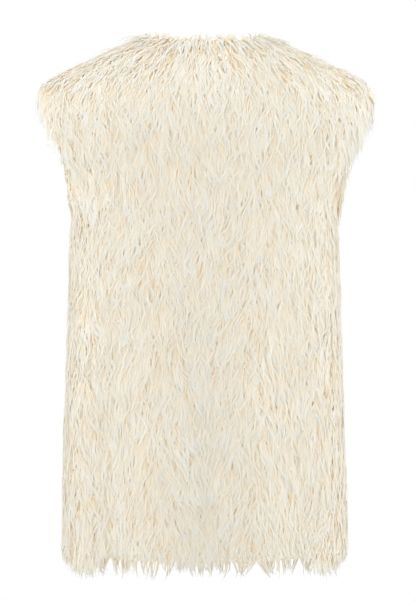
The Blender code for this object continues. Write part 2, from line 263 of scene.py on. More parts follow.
class Ground:
    """A panel's cloth as arrays: the points of its inner and outer faces, the ways out, its free edges."""

    def __init__(self, mesh):
        mesh.calc_loop_triangles()
        self.inner = np.empty((len(mesh.vertices), 3))
        self.normals = np.empty((len(mesh.vertices), 3))
        self.triangles = np.empty((len(mesh.loop_triangles), 3), dtype=int)
        mesh.vertices.foreach_get("co", self.inner.ravel())
        mesh.vertices.foreach_get("normal", self.normals.ravel())
        mesh.loop_triangles.foreach_get("vertices", self.triangles.ravel())

        # at the seams and down the centre front the way out lies in the plane where two panels meet
        self.normals[np.abs(self.inner[:, 1]) < SEAM_REACH, 1] = 0
        self.normals[np.abs(self.inner[:, 0]) < FRONT_EDGE_REACH, 0] = 0
        self.normals /= np.linalg.norm(self.normals, axis=1, keepdims=True)
        self.points = self.inner + self.normals * CLOTH_THICKNESS
        self.find_free_edges(mesh)

    def find_free_edges(self, mesh):
        """The panel's boundary: each edge's ends in its face's order, and the way off the panel there."""
        uses = {}
        for face in mesh.polygons:
            ends = list(face.vertices)
            for pair in zip(ends, ends[1:] + ends[:1]):
                uses.setdefault(frozenset(pair), []).append((pair, face.center))
        lone = [found[0] for found in uses.values() if len(found) == 1]
        self.edges = np.array([pair for pair, centre in lone])
        first, last = self.inner[self.edges[:, 0]], self.inner[self.edges[:, 1]]
        self.edge_spots = (first + last) / 2
        self.edge_runs = last - first
        along = self.edge_runs / np.linalg.norm(self.edge_runs, axis=1, keepdims=True)
        off = self.edge_spots - np.array([centre for pair, centre in lone])
        off -= along * np.sum(off * along, axis=1, keepdims=True)
        self.edge_ways = off / np.linalg.norm(off, axis=1, keepdims=True)

    def thicken(self, mesh):
        """Makes the panel's face a closed cloth. The outer face and rim are in its first material."""
        count = len(self.inner)
        inside = [list(face.vertices) for face in mesh.polygons]
        covered = [[spot + count for spot in face] for face in inside]
        covered += [[last + count, first + count, first, last] for first, last in self.edges.tolist()]
        mesh.clear_geometry()
        points = np.concatenate([self.inner, self.points]).tolist()
        mesh.from_pydata(points, [], covered + [face[::-1] for face in inside])
        mesh.polygons.foreach_set("material_index", [0] * len(covered) + [1] * len(inside))
        mesh.shade_smooth()
        mesh.set_sharp_from_angle(angle=RIM_ANGLE)


knit = knit_finish()
underfur = underfur_finish()
grounds = {}
for node, (flat, area) in PANEL_CUTS.items():
    shape = inside_of(node)
    keep_corners(shape)
    mesh = bpy.data.meshes.new(node + "_cloth")
    shape.to_mesh(mesh)
    shape.free()
    cloth = add_mesh(node + "_cloth", mesh, underfur)
    cloth.data.materials.append(knit)
    finish_modifier(cloth, "SUBSURF", levels=1, render_levels=1, boundary_smooth="PRESERVE_CORNERS")
    trim_hem(cloth.data)
    grounds[node] = Ground(cloth.data)
    grounds[node].thicken(cloth.data)
    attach(cloth, "root")
    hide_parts(node)


# Shaggy pile
# Long soft fibre is drawn through the ground in tufts, and combs itself into thin pointed locks that hang
# over each other like shingles. They part over the folds' ridges, run off the shoulders and hide the seams.
class LockKind(NamedTuple):
    """A kind of lock: how many there are, limits of its sizes, its outline, its rise and its bends."""

    per_square_metre: dict
    lengths: tuple
    widths: tuple
    heights: tuple
    profile: tuple
    rise: tuple
    wave: float
    curl: float
    unity: float


LOCK = LockKind(
    per_square_metre={"back": 34000, "front_left": 28000, "front_right": 28000},
    lengths=(0.034, 0.056),
    widths=(0.0026, 0.0048),
    heights=(0.0005, 0.0056),
    profile=(0.62, 1.0, 0.96, 0.80, 0.52),
    rise=(0.0, 0.45, 0.76, 0.93, 1.0, 1.0),
    wave=0.38,
    curl=0.84,
    unity=0.65,
)

# finer hair that strays from the locks and lies on top of them
WISP = LockKind(
    per_square_metre={"back": 17000, "front_left": 13000, "front_right": 13000},
    lengths=(0.036, 0.062),
    widths=(0.0013, 0.0026),
    heights=(0.0042, 0.0078),
    profile=(0.9, 1.0, 0.8, 0.5),
    rise=(0.0, 0.75, 1.0, 1.0, 0.95),
    wave=0.42,
    curl=0.90,
    unity=0.40,
)

# every lock is three-sided and low, rooted a little way into the cloth
LOCK_FLATNESS = 0.30
LOCK_TWIST = math.radians(9)
LOCK_ROUNDING = 0.12
TOP_ROUNDING = 1.4
ROOT_DEPTH = 0.001
RIDGE_PLACE = 0.5
# the underside's place across the lock, which paints it with the warm shade of the lock's sides
UNDERSIDE_SHADE_PLACE = 0.1
UNDERSIDE_TURN = 0.2

# locks gather in clumps of about five, which share most of these traits and come together at their tips
LOCK_TRAITS = ("length", "height", "phase", "curl")
CLUMP_SHARE = 0.2
CLUMP_PULL = 0.75
CLUMP_SIZES = (0.036, 0.012)
CLUMP_TURNS = (0.28, 0.16)
STRAY_TURN = 0.12
WAVE_STEP = 0.85
WAVE_PHASES = 4 * math.pi

# the way the pile falls: out and off the shoulders, and in beside the left armhole. Lower down it closes over
# the troughs of the folds, and past a free edge it droops
SHOULDER_FALL_STARTS = -0.10
SHOULDER_FALL = (0.55, 0.16)
SHOULDER_FALL_FULL = (0.06, 0.02)
LEFT_ARMHOLE = (-0.162, -0.180)
LEFT_ARMHOLE_HEIGHTS = (-0.225, -0.095)
LEFT_ARMHOLE_LEAN = 0.34
BACK_TROUGH = 0.003
FRONT_TROUGH = 0.095
TROUGH_SPACING = 0.121
PARTING = 0.14
PARTING_STARTS = -0.10
PARTING_FULL = -0.26
PAST_EDGE = 0.0025
EDGE_DROOP = 0.55

# how tall it stands: puffed up beside the neck, flattened on the sides and shoulders, with tufts on the seams
NECK_FLUFF = 0.3
NECK_FLUFF_AT = (-0.078, 0.062)
NECK_FLUFF_REACH = 0.028
NECK_FLUFF_LOWEST = -0.06
SHOULDER_FLUFF = 1.1
SHOULDER_FLATTENED = 0.20
SHOULDER_REACH = 0.045
SHOULDER_LOWEST = -0.13
SIDE_FLATTENED = 0.25
SIDE_TURN = 0.5
TUFT_SIZE = 0.022
SWELL_HEIGHT = 0.25
SWELL_SHIFT = Vector((9, 0, 0))

# the pile ends at the hem, and lower in scallops at the corners and in the middle
PILE_END = -0.684
PILE_END_STRAYS = (-0.003, 0.004)
CORNER_DROP = 0.023
CORNER_SCALLOP = 0.134
CORNER_ROUNDING = 0.170
MIDDLE_DROP = 0.009
MIDDLE_SCALLOP = (-0.008, 0.038)
SCALLOP_SLOPE = 0.010
SHORTEST_LOCK = 0.008
FULL_WIDTH_FROM = 0.030
NARROWEST = 0.5

# cream fibre; painted warm shade at roots, lock sides, undersides and low locks; painted light on tall locks
# and shoulders
SHADE_BY_HEIGHT = (0.20, 0.88)
SWELL_PAINTED_SHADE = 0.12
STRAY_TINT = 0.12
SHOULDER_PAINTED_LIGHT = 0.35
PILE_FIBRE_AND_SHADE_STOPS = [
    (0.00, (0.993, 0.850, 0.610, 1.0)),
    (0.30, (0.982, 0.917, 0.782, 1.0)),
    (0.65, (0.950, 0.942, 0.878, 1.0)),
    (1.00, (0.926, 0.942, 0.916, 1.0)),
]
# painted shade by how high a lock lies: from a grey painted shadow for the hem's locks, through warm shade,
# to pale light
PILE_TONE_AND_SHADE_STOPS = [
    (0.0, (0.800, 0.775, 0.720, 1.0)),
    (0.2, (0.990, 0.950, 0.885, 1.0)),
    (0.5, (0.995, 0.985, 0.965, 1.0)),
    (1.0, (1.000, 1.000, 1.000, 1.0)),
]
# painted warm shade on each lock's sides
EDGE_PAINTED_SHADE = 0.52
PILE_ROUGHNESS = 0.78

# streaks of fibre, which lie this close across a lock, along it and from one lock's tone and shade to the
# next
FIBRE_SPREAD = (14.0, 2.5, 90.0)
FIBRE_RAGGEDNESS = 0.4
FIBRE_RELIEF = 0.15
FIBRE_DEPTH = 0.0006
FIBRE_STOPS = [(0.34, (0.950, 0.927, 0.880, 1.0)), (0.56, (1.0, 1.0, 1.0, 1.0))]


def multiplied(finish, first, second):
    """Two colours multiplied. The sockets of a Mix node go by number, since several of them share a name."""
    settings = {"data_type": "RGBA", "blend_type": "MULTIPLY"}
    return finish.add("ShaderNodeMix", settings, {0: 1.0, 6: first, 7: second}, 2)


def pile_finish():
    """Matt cream fibre, streaked along each lock, with painted warm shade at its root, sides and underside,
    and painted shade on low locks and painted light on tall ones.
    """
    pile = Finish("cream_pile_locks")
    place = pile.add("ShaderNodeUVMap", {"uv_map": "along_lock"}, {}, "UV")
    across = pile.add("ShaderNodeSeparateXYZ", {}, {"Vector": place}, "X")
    along = pile.add("ShaderNodeSeparateXYZ", {}, {"Vector": place}, "Y")
    tone_and_shade = pile.add("ShaderNodeAttribute", {"attribute_name": "lock_tint"}, {}, "Fac")
    spread = {axis: way * size for axis, way, size in zip("XYZ", (across, along, tone_and_shade), FIBRE_SPREAD)}
    spot = pile.add("ShaderNodeCombineXYZ", {}, spread, "Vector")
    streaks = pile.add("ShaderNodeTexNoise", {}, {"Vector": spot, "Scale": 1.0, "Detail": 3.0}, "Fac")
    aside = across * 2 - 1
    # painted warm shade towards each lock's root and its sides
    run = along + streaks * FIBRE_RAGGEDNESS - aside * aside * EDGE_PAINTED_SHADE
    body = pile.add("ShaderNodeValToRGB", {"stops": PILE_FIBRE_AND_SHADE_STOPS}, {"Fac": run}, "Color")
    # painted shade and light by how high each lock lies, with its random tone
    tone_and_shade_colour = pile.add("ShaderNodeValToRGB", {"stops": PILE_TONE_AND_SHADE_STOPS}, {"Fac": tone_and_shade}, "Color")
    fibres = pile.add("ShaderNodeValToRGB", {"stops": FIBRE_STOPS}, {"Fac": streaks}, "Color")
    colour = multiplied(pile, multiplied(pile, body, tone_and_shade_colour), fibres)
    relief = {"Height": streaks, "Strength": FIBRE_RELIEF, "Distance": FIBRE_DEPTH}
    bump = pile.add("ShaderNodeBump", {}, relief)
    pile.fill(pile.shader, {"Base Color": colour, "Normal": bump})
    pile.fill(pile.shader, {"Roughness": PILE_ROUGHNESS, "Specular IOR Level": 0.0})
    return pile.material


def unit(vectors, shortest=1e-9):
    """Vectors brought to a length of 1."""
    return vectors / np.maximum(np.linalg.norm(vectors, axis=-1, keepdims=True), shortest)


def along_way(vectors, ways):
    """How far each vector goes along its own unit way, as a column."""
    return np.sum(vectors * ways, axis=-1, keepdims=True)


def between(limits, shares):
    """Sizes at some shares of the way from the lower limit to the upper."""
    return limits[0] + (limits[1] - limits[0]) * shares


def joined_ground():
    """One tree of all three panels' outer faces, for locks to lie along across the seams."""
    points = []
    triangles = []
    for ground in grounds.values():
        triangles += (ground.triangles + len(points)).tolist()
        points += ground.points.tolist()
    return BVHTree.FromPolygons([Vector(point) for point in points], triangles)


def scatter(ground, density, draw):
    """Roots spread evenly over a panel, with the way out of the cloth at each."""
    corners = ground.points[ground.triangles]
    sides = np.cross(corners[:, 1] - corners[:, 0], corners[:, 2] - corners[:, 0])
    totals = np.cumsum(np.linalg.norm(sides, axis=1) / 2)
    count = int(totals[-1] * density)
    marks = (np.arange(count) + draw.random(count)) / count * totals[-1]
    chosen = np.minimum(np.searchsorted(totals, marks), len(totals) - 1)
    first, second = draw.random((2, count))
    over = first + second > 1
    first[over] = 1 - first[over]
    second[over] = 1 - second[over]
    weights = np.stack([1 - first - second, first, second], axis=1)
    roots = np.einsum("nk,nkj->nj", weights, corners[chosen])
    ways = np.einsum("nk,nkj->nj", weights, ground.normals[ground.triangles[chosen]])
    return roots, unit(ways)


def on_shoulder(heights):
    """How far up the shoulders some heights are, from 0 to 1."""
    return share_between(heights, SHOULDER_FALL_STARTS, 0)


def pile_flow(places, ways):
    """The way the pile falls at some places: down, off the shoulders, and in over the folds' troughs."""
    across, deep, height = places.T
    pull = np.tile((0.0, 0.0, -1.0), (len(places), 1))
    for axis, reach in enumerate(SHOULDER_FALL_FULL):
        pull[:, axis] += SHOULDER_FALL[axis] * on_shoulder(height) * np.clip(places[:, axis] / reach, -1, 1)
    trough = np.where(deep < 0, BACK_TROUGH, np.sign(across) * FRONT_TROUGH)
    parting = share_between(height, PARTING_STARTS, PARTING_FULL)
    beside = share_between(across, *LEFT_ARMHOLE)
    beside *= (height > LEFT_ARMHOLE_HEIGHTS[0]) & (height < LEFT_ARMHOLE_HEIGHTS[1])
    pull[:, 0] += LEFT_ARMHOLE_LEAN * beside
    facing = np.abs(ways[:, 1])
    pull[:, 0] -= PARTING * parting * facing * np.sin(2 * math.pi * (across - trough) / TROUGH_SPACING)
    return unit(pull - ways * along_way(pull, ways))


def gather(roots, draw):
    """The clump that each root belongs to, how many clumps there are, and the way to the clump's middle."""
    count = int(len(roots) * CLUMP_SHARE)
    middles = roots[draw.choice(len(roots), count, replace=False)]
    nearest = KDTree(count)
    for number, middle in enumerate(middles):
        nearest.insert(middle, number)
    nearest.balance()
    numbers = np.array([nearest.find(root)[1] for root in roots])
    return numbers, count, middles[numbers] - roots


def clump_turns(roots, draw):
    """How far each lock turns aside with its neighbours, and a little by itself."""
    turns = draw.normal(0, STRAY_TURN, len(roots))
    for size, turn in zip(CLUMP_SIZES, CLUMP_TURNS):
        turns += [turn * noise.noise(Vector(root) / size) for root in roots]
    return turns


def lay_locks(roots, ways, lengths, heights, rise, turns, waves, curls):
    """Paths of locks over the cloth, rising from their roots, hanging free past an edge, and their sides."""
    steps = len(rise) - 1
    places, out = roots.copy(), ways.copy()
    paths, tops = [roots - ways * ROOT_DEPTH], [ways]
    heading = pile_flow(places, out)
    size, phase = waves
    for step in range(1, steps + 1):
        fall = pile_flow(places, out)
        turn = turns + size * np.sin(phase + WAVE_STEP * step) + curls * (step / steps) ** 2
        ahead = fall * np.cos(turn)[:, None] + np.cross(out, fall) * np.sin(turn)[:, None]
        target = places + ahead * (lengths / steps)[:, None]
        found = [tree.find_nearest(Vector(spot)) for spot in target]
        spots = np.array([spot for spot, *_ in found])
        faces = np.array([face for _, face, *_ in found])
        off = target - spots
        aside = np.linalg.norm(off - faces * along_way(off, faces), axis=1)
        free = (aside > PAST_EDGE)[:, None]
        dropped = unit(heading * (1 - EDGE_DROOP) + np.array((0, 0, -EDGE_DROOP)))
        hanging = places + dropped * (lengths / steps)[:, None]
        heading = np.where(free, dropped, ahead)
        places = np.where(free, hanging, spots)
        out = np.where(free, out, unit(out + faces))
        paths.append(places + out * (heights * rise[step])[:, None])
        tops.append(out)
    paths = np.stack(paths, axis=1)
    return paths, np.cross(np.gradient(paths, axis=1), np.stack(tops, axis=1))


def shape_locks(paths, sides, widths, profile, twists):
    """Closed three-sided pointed locks along paths: points, triangles, corners' facing, the undersides."""
    count, steps = len(paths), paths.shape[1] - 1
    run = unit(np.gradient(paths, axis=1))
    side = unit(sides - run * along_way(sides, run))
    up = np.cross(side, run)
    cos, sin = np.cos(twists)[:, None, None], np.sin(twists)[:, None, None]
    side, up = side * cos + up * sin, up * cos - side * sin
    half = widths[:, None, None] / 2 * np.array(profile)[None, :, None]
    rings = paths[:, :-1]
    left = rings - side[:, :-1] * half
    right = rings + side[:, :-1] * half
    ridge = rings + up[:, :-1] * half * 2 * LOCK_FLATNESS
    body = np.stack([left, right, ridge], axis=2).reshape(count, steps * 3, 3)
    points = np.concatenate([body, paths[:, -1:]], axis=1).reshape(-1, 3)
    faces = [(0, 1, 2)]
    for ring in range(steps - 1):
        low, high = ring * 3, ring * 3 + 3
        for corner in range(3):
            other = (corner + 1) % 3
            faces.append((low + corner, high + other, low + other))
            faces.append((low + corner, high + corner, high + other))
    low, tip = (steps - 1) * 3, steps * 3
    faces += [(low + corner, tip, low + (corner + 1) % 3) for corner in range(3)]
    starts = np.arange(count)[:, None, None] * (steps * 3 + 1)
    triangles = (np.array(faces)[None] + starts).reshape(-1, 3)

    # soft fibre takes the light much as the cloth under it does, with some rounding of its own, most of all
    # where it faces up, but the lock's flat underside keeps its own way of facing
    rounding = LOCK_ROUNDING + TOP_ROUNDING * np.clip(up[:, :-1, None, 2:], 0, 1)
    rounding = np.stack([-side, side, up], axis=2)[:, :-1] * rounding
    shading = (up[:, :-1, None] + rounding).reshape(count, steps * 3, 3)
    shading = unit(np.concatenate([shading, up[:, -1:]], axis=1)).reshape(-1, 3)[triangles]
    corners = points[triangles]
    facing = unit(np.cross(corners[:, 1] - corners[:, 0], corners[:, 2] - corners[:, 0]))
    under = np.sum(facing[:, None] * shading, axis=2).min(axis=1) < UNDERSIDE_TURN
    shading[under] = facing[under, None]
    return points, triangles, shading.reshape(-1, 3), under


def join_locks(name, locks, steps, tones_and_shade):
    """One piece from the arrays of many locks, with each lock's own tone and painted shade, and its run from
    root to tip.
    """
    points, triangles, shading, under = locks
    mesh = bpy.data.meshes.new(name)
    mesh.vertices.add(len(points))
    mesh.vertices.foreach_set("co", points.ravel())
    mesh.loops.add(triangles.size)
    mesh.loops.foreach_set("vertex_index", triangles.ravel())
    mesh.polygons.add(len(triangles))
    mesh.polygons.foreach_set("loop_start", np.arange(0, triangles.size, 3))
    mesh.update(calc_edges=True)
    mesh.shade_smooth()
    across = np.append(np.tile((0.0, 1.0, RIDGE_PLACE), steps), RIDGE_PLACE)
    along = np.append(np.repeat(np.arange(steps), 3), steps) / steps
    per_lock = np.stack([across, along], axis=1)
    places = np.tile(per_lock, (len(tones_and_shade), 1))[triangles]
    # undersides take the painted warm shade of the lock's sides
    places[under, :, 0] = UNDERSIDE_SHADE_PLACE
    mesh.uv_layers.new(name="along_lock").data.foreach_set("uv", places.ravel())
    shades = np.repeat(tones_and_shade, steps * 3 + 1)
    mesh.attributes.new("lock_tint", "FLOAT", "POINT").data.foreach_set("value", shades)
    mesh.normals_split_custom_set(shading)
    piece = add_mesh(name, mesh, fibre)
    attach(piece, "root")
    return piece


def fullness_at(roots, ways):
    """How tall the pile stands: more beside the neck, less on the sides and shoulders but for some tufts."""
    middles = np.where(roots[:, 0] < 0, *NECK_FLUFF_AT)
    beside = (roots[:, 0] - middles) / NECK_FLUFF_REACH
    above = share_between(roots[:, 2], NECK_FLUFF_LOWEST, 0)
    tufts = np.array([max(noise.noise(Vector(root) / TUFT_SIZE), 0) for root in roots])
    on_seam = np.exp(-((roots[:, 1] / SHOULDER_REACH) ** 2)) * (roots[:, 2] > SHOULDER_LOWEST)
    sides = share_between(np.abs(ways[:, 0]), SIDE_TURN, 1) * (roots[:, 2] < SHOULDER_LOWEST)
    full = 1 + NECK_FLUFF * np.exp(-(beside**2)) * above + SHOULDER_FLUFF * tufts * on_seam
    return full - SHOULDER_FLATTENED * on_seam - SIDE_FLATTENED * sides


def swell_at(roots):
    """How thick the pile is at some roots, from -1 to 1, in soft clumps."""
    return np.array([noise.noise(Vector(root) / CLUMP_SIZES[0] + SWELL_SHIFT) for root in roots])


def room_above_hem(roots, draw):
    """How far each lock may hang before it would pass the pile's scalloped end."""
    across = np.abs(roots[:, 0])
    corner = np.clip((across - CORNER_SCALLOP) / SCALLOP_SLOPE, 0, 1) * CORNER_DROP
    corner -= np.clip(across - CORNER_ROUNDING, 0, None)
    middle = (MIDDLE_SCALLOP[1] - np.abs(roots[:, 0] - MIDDLE_SCALLOP[0])) / SCALLOP_SLOPE
    scallop = np.maximum(corner, np.clip(middle, 0, 1) * MIDDLE_DROP)
    return roots[:, 2] - PILE_END + scallop - between(PILE_END_STRAYS, draw.random(len(roots)))


def grow(name, kind, roots, ways, draw):
    """Locks of one kind, grown from roots over the cloth."""
    count = len(roots)
    numbers, clumps, inwards = gather(roots, draw)
    shared = draw.random((len(LOCK_TRAITS), clumps))[:, numbers]
    own = draw.random((len(LOCK_TRAITS), count))
    long, tall, phase, curled = shared * kind.unity + own * (1 - kind.unity)
    lengths = np.minimum(between(kind.lengths, long), room_above_hem(roots, draw))
    lengths = np.maximum(lengths, SHORTEST_LOCK)
    widths = between(kind.widths, draw.random(count)) * np.clip(lengths / FULL_WIDTH_FROM, NARROWEST, 1)
    swell = swell_at(roots)
    heights = between(kind.heights, tall) * (1 + SWELL_HEIGHT * swell) * fullness_at(roots, ways)
    aside = along_way(inwards, np.cross(ways, pile_flow(roots, ways)))[:, 0]
    turns = clump_turns(roots, draw) + CLUMP_PULL * kind.unity * aside / lengths
    waves = (kind.wave, phase * WAVE_PHASES)
    curls = between((-kind.curl, kind.curl), curled)
    paths, sides = lay_locks(roots, ways, lengths, heights, kind.rise, turns, waves, curls)
    locks = shape_locks(paths, sides, widths, kind.profile, draw.normal(0, LOCK_TWIST, count))
    # painted shade and light: low locks and thin pile darker and warmer, tall locks, thick clumps and the
    # shoulders paler, with some random tone
    tones_and_shade = between(SHADE_BY_HEIGHT, tall) + SWELL_PAINTED_SHADE * swell + SHOULDER_PAINTED_LIGHT * on_shoulder(roots[:, 2])
    tones_and_shade = np.clip(tones_and_shade + draw.normal(0, STRAY_TINT, count), SHADE_BY_HEIGHT[0], 1)
    return join_locks(name, locks, len(kind.profile), tones_and_shade)


PILE_SEED = 41
draw = np.random.default_rng(PILE_SEED)
fibre = pile_finish()
tree = joined_ground()
piles = {node: [] for node in PANEL_CUTS}
for node, ground in grounds.items():
    roots, ways = scatter(ground, LOCK.per_square_metre[node], draw)
    low = roots[:, 2] < np.median(roots[:, 2])
    for part, chosen in (("lower", low), ("upper", ~low)):
        piles[node].append(grow(f"{node}_pile_{part}", LOCK, roots[chosen], ways[chosen], draw))
    roots, ways = scatter(ground, WISP.per_square_metre[node], draw)
    piles[node].append(grow(node + "_wisps", WISP, roots, ways, draw))


# Fringes along the free edges
# Where the cloth ends, the outermost tufts hang clear of it: straight down at the hem, up and over round the
# neck, and out and down over the armholes. They are the pile's own locks, so nothing is sewn on.
FRINGE_PROFILE = (0.70, 1.0, 1.0, 0.88, 0.70, 0.42)
FRINGE_STEPS = len(FRINGE_PROFILE)
RIM_DEPTH = 0.0058
RIM_CLEARANCE = (0.001, 0.006)

# the hem's locks hang by a drop, a lean towards their bunch and a sway, which share in two bends and the tip
HEM_EDGE = -0.66
HEM_LOCKS_PER_METRE = 560
HEM_INSET = (0.002, 0.010)
HEM_HANG = (0.017, 0.033)
HEM_CORNER_REACH = 0.02
HEM_CORNER_HANG = 0.3
HEM_GATHERED = 0.7
HEM_LEAN = 0.002
HEM_SWAY = (0.003, 0.002)
HEM_LEGS = ((0.35, 0.0, 0.0), (0.7, 0.8, -1.0), (1.0, 1.0, 1.0))
HEM_WIDTHS = (0.0012, 0.0028)
# the hem's locks are painted greyer, as the shadow they hang in under the hem
HEM_PAINTED_SHADOW = (0.10, 0.07)

# the neck's locks go by a rise, a way out, a fall and a sway, in the same manner
NECK_REACH = 0.0815
NECK_LOWEST = -0.12
NECK_LOCKS_PER_METRE = 1700
NECK_RISE = (0.004, 0.0105)
NECK_UPRIGHT = 0.8
NECK_CORNERS = (0.045, 0.075)
NECK_CORNER_RISE = 0.12
NECK_FALL = (0.016, 0.044)
NECK_SWAY = 0.006
NECK_ROLLED = 0.82
NECK_ROLLED_LEGS = ((1.0, 0.0, 0.0, 0.0), (1.2, 0.7, 0.3, 0.3), (0.4, 1.0, 1.0, 1.0))
NECK_STANDING_LEGS = ((0.6, 0.0, 0.0, 0.0), (1.2, 0.2, 0.0, -1.0), (1.1, 0.9, 0.0, 1.0))
NECK_WIDTHS = (0.0020, 0.0044)
NECK_TINTS = (0.55, 0.2)

# and so do the armholes' locks, which grow longer and reach further out towards the tip of the shoulder
ARMHOLE_NEAREST = 0.15
ARMHOLE_LOWEST = -0.2255
ARMHOLE_TIP = -0.0605
ARMHOLE_LOCKS_PER_METRE = 1150
ARMHOLE_RISE = (0.002, 0.006)
ARMHOLE_FALL = (0.014, 0.028)
ARMHOLE_TIP_SHORTEST = 0.018
ARMHOLE_SWAY = 0.004
ARMHOLE_LEGS = ((1.0, 0.2, 0.0, 0.0), (1.3, 0.9, 0.4, -1.0), (0.9, 1.0, 1.0, 1.0))
ARMHOLE_WIDTHS = (0.0018, 0.0040)
ARMHOLE_TINTS = (0.7, 0.2)


class Armhole(NamedTuple):
    """An armhole's side and front, its locks' lean and fullness, and at its tip their length and reach."""

    side: str
    front: str
    sign: int
    lean: float
    fullness: float
    longest: float
    reach: float


ARMHOLES = (
    Armhole("left", "front_left", -1, lean=0.24, fullness=0.45, longest=0.030, reach=0.002),
    Armhole("right", "front_right", 1, lean=0.0, fullness=1.0, longest=0.064, reach=0.011),
)


def off_seams(ground):
    """Which of a panel's free edges are neither sewn nor on the centre front."""
    first, last = ground.inner[ground.edges[:, 0]], ground.inner[ground.edges[:, 1]]
    sewn = (np.abs(first[:, 1]) < SEAM_REACH) & (np.abs(last[:, 1]) < SEAM_REACH)
    opening = (np.abs(first[:, 0]) < FRONT_EDGE_REACH) & (np.abs(last[:, 0]) < FRONT_EDGE_REACH)
    return ~sewn & ~opening


def on_hem(spots):
    return spots[:, 2] < HEM_EDGE


def on_neck(spots):
    return (np.abs(spots[:, 0]) < NECK_REACH) & (spots[:, 2] > NECK_LOWEST)


def edge_roots(nodes, where, per_metre, draw):
    """Roots along a free edge: their places, the way out of the cloth, off the panel, and along the edge."""
    found = []
    for node in nodes:
        ground = grounds[node]
        chosen = np.flatnonzero(off_seams(ground) & where(ground.edge_spots))
        totals = np.cumsum(np.linalg.norm(ground.edge_runs[chosen], axis=1))
        count = int(totals[-1] * per_metre)
        marks = (np.arange(count) + draw.random(count)) / count * totals[-1]
        at = chosen[np.minimum(np.searchsorted(totals, marks), len(chosen) - 1)]
        share = draw.random(count)[:, None]
        first, last = ground.edges[at].T
        places = ground.points[first] * (1 - share) + ground.points[last] * share
        ways = unit(ground.normals[first] * (1 - share) + ground.normals[last] * share)
        found.append((places, ways, ground.edge_ways[at], unit(ground.edge_runs[at])))
    return [np.concatenate(arrays) for arrays in zip(*found)]


def column(limits, count, draw):
    """A column of random sizes between limits."""
    return between(limits, draw.random(count))[:, None]


def mixed(legs, *moves):
    """Where locks have their two bends and their tip, from the share that each of their moves has in it."""
    return [sum(share * move for share, move in zip(shares, moves)) for shares in legs]


def across_rim(places, ways, away, draw):
    """Starts spread across the rim of the cloth, and the way from each to clear of its outer face."""
    inset = column((0.0, RIM_DEPTH), len(places), draw)
    start = places - ways * inset - away * ROOT_DEPTH
    return start, ways * (inset + column(RIM_CLEARANCE, len(places), draw))


def add_fringe(name, start, ways, along, legs, draw, widths, tones_and_shade):
    """A row of locks off a free edge. legs lead to two bends and the tip, tones_and_shade are a mean and a
    spread of tone and painted shade.
    """
    count = len(start)
    first, middle, last = legs
    paths = []
    for step in range(FRINGE_STEPS + 1):
        share = step / FRINGE_STEPS
        bend = first * 3 * share * (1 - share) ** 2 + middle * 3 * share**2 * (1 - share) + last * share**3
        paths.append(start + bend)
    outwards = np.sign(along_way(np.cross(along, last - middle), ways))
    sides = np.repeat((along * outwards)[:, None], FRINGE_STEPS + 1, axis=1)
    twists = draw.normal(0, LOCK_TWIST, count)
    sizes = between(widths, draw.random(count))
    locks = shape_locks(np.stack(paths, axis=1), sides, sizes, FRINGE_PROFILE, twists)
    fringe = join_locks(name + "_locks", locks, FRINGE_STEPS, np.clip(draw.normal(*tones_and_shade, count), 0, 1))
    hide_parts(name)
    return fringe


def hem_fringe(name, node, draw):
    """Locks from the last rows of tufts, which hang straight down past the edge in small bunches."""
    places, ways, away, along = edge_roots([node], on_hem, HEM_LOCKS_PER_METRE, draw)
    count = len(places)
    numbers, bunches, inwards = gather(places, draw)
    start = places - away * column(HEM_INSET, count, draw)
    start -= ways * column((0, CLOTH_THICKNESS), count, draw)
    lengths = (draw.random((bunches, 1))[numbers] + draw.random((count, 1))) / 2
    past_corner = (np.abs(places[:, :1]) - CORNER_ROUNDING) / HEM_CORNER_REACH
    drop = away * between(HEM_HANG, lengths) * np.clip(1 - past_corner, HEM_CORNER_HANG, 1)
    lean = along * (along_way(inwards, along) * HEM_GATHERED + draw.normal(0, HEM_LEAN, (count, 1)))
    sway = along * draw.normal(0, HEM_SWAY[0], (count, 1)) + ways * draw.normal(0, HEM_SWAY[1], (count, 1))
    legs = mixed(HEM_LEGS, drop, lean, sway)
    return add_fringe(name, start, ways, along, legs, draw, HEM_WIDTHS, HEM_PAINTED_SHADOW)


def neck_fringe(name, node, draw):
    """Locks rooted across the rim of the neck. Most roll over onto the panel and the rest stand up."""
    places, ways, away, along = edge_roots([node], on_neck, NECK_LOCKS_PER_METRE, draw)
    count = len(places)
    start, out = across_rim(places, ways, away, draw)
    taller = 1 + NECK_CORNER_RISE * share_between(np.abs(places[:, :1]), *NECK_CORNERS)
    rise = unit(away + np.array((0, 0, NECK_UPRIGHT))) * column(NECK_RISE, count, draw) * taller
    fall = pile_flow(places, ways) * column(NECK_FALL, count, draw)
    sway = along * draw.normal(0, NECK_SWAY, (count, 1))
    rolled = mixed(NECK_ROLLED_LEGS, rise, out, fall, sway)
    standing = mixed(NECK_STANDING_LEGS, rise, out, fall, sway)
    rolls = draw.random((count, 1)) < NECK_ROLLED
    legs = [np.where(rolls, one, other) for one, other in zip(rolled, standing)]
    return add_fringe(name, start, ways, along, legs, draw, NECK_WIDTHS, NECK_TINTS)


